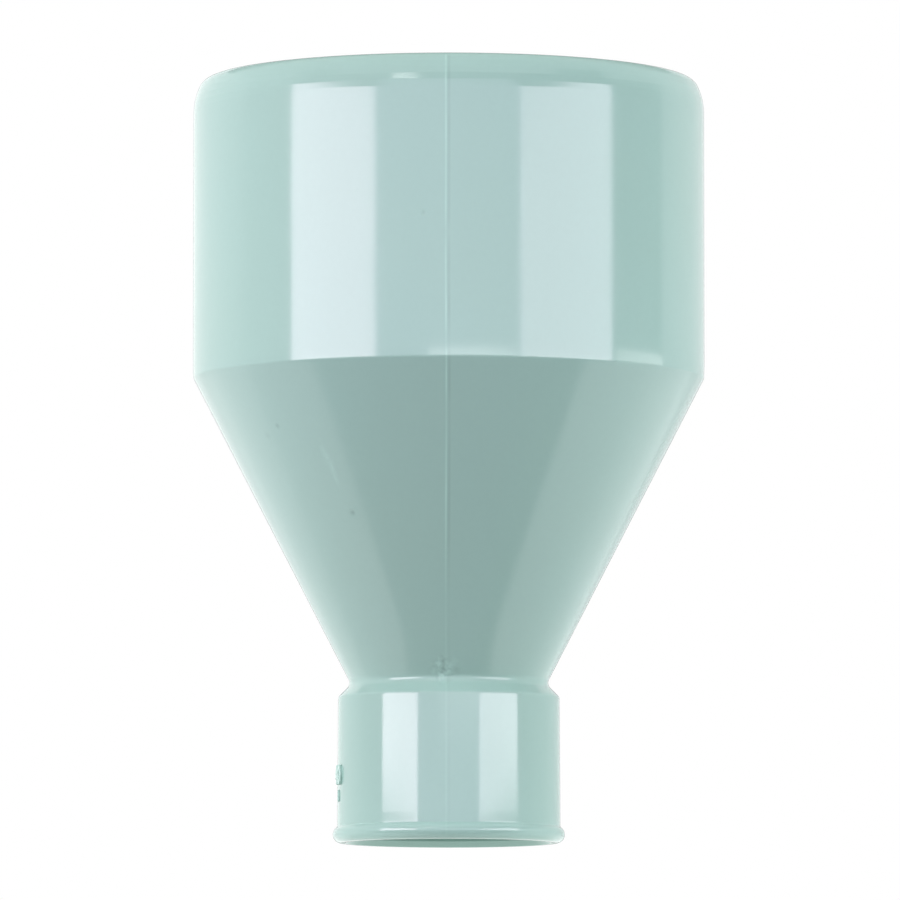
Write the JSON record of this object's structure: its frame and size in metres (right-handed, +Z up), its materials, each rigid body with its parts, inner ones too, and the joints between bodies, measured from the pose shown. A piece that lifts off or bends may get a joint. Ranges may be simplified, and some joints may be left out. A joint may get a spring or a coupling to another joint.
{
  "type": "condensate drain funnel",
  "caption": "Open drain funnel for condensate or overflow pipes: straight bowl with a turned-in rim, cone, narrow neck and a beaded socket for a waste pipe below.",
  "frame": {"origin": "centre of the mouth of the pipe socket, at the bottom of the funnel", "axes": "+Z up along the funnel's axis to its open rim, -Y the front with one parting line, -X the side with the raised number"},
  "size_m": [0.103, 0.1032, 0.154],
  "materials": {
    "plastic": "glossy, pale grey-green, slightly uneven as moulded"
  },
  "bodies": {
    "root": {"funnel": "plastic"}
  },
  "joints": []
}
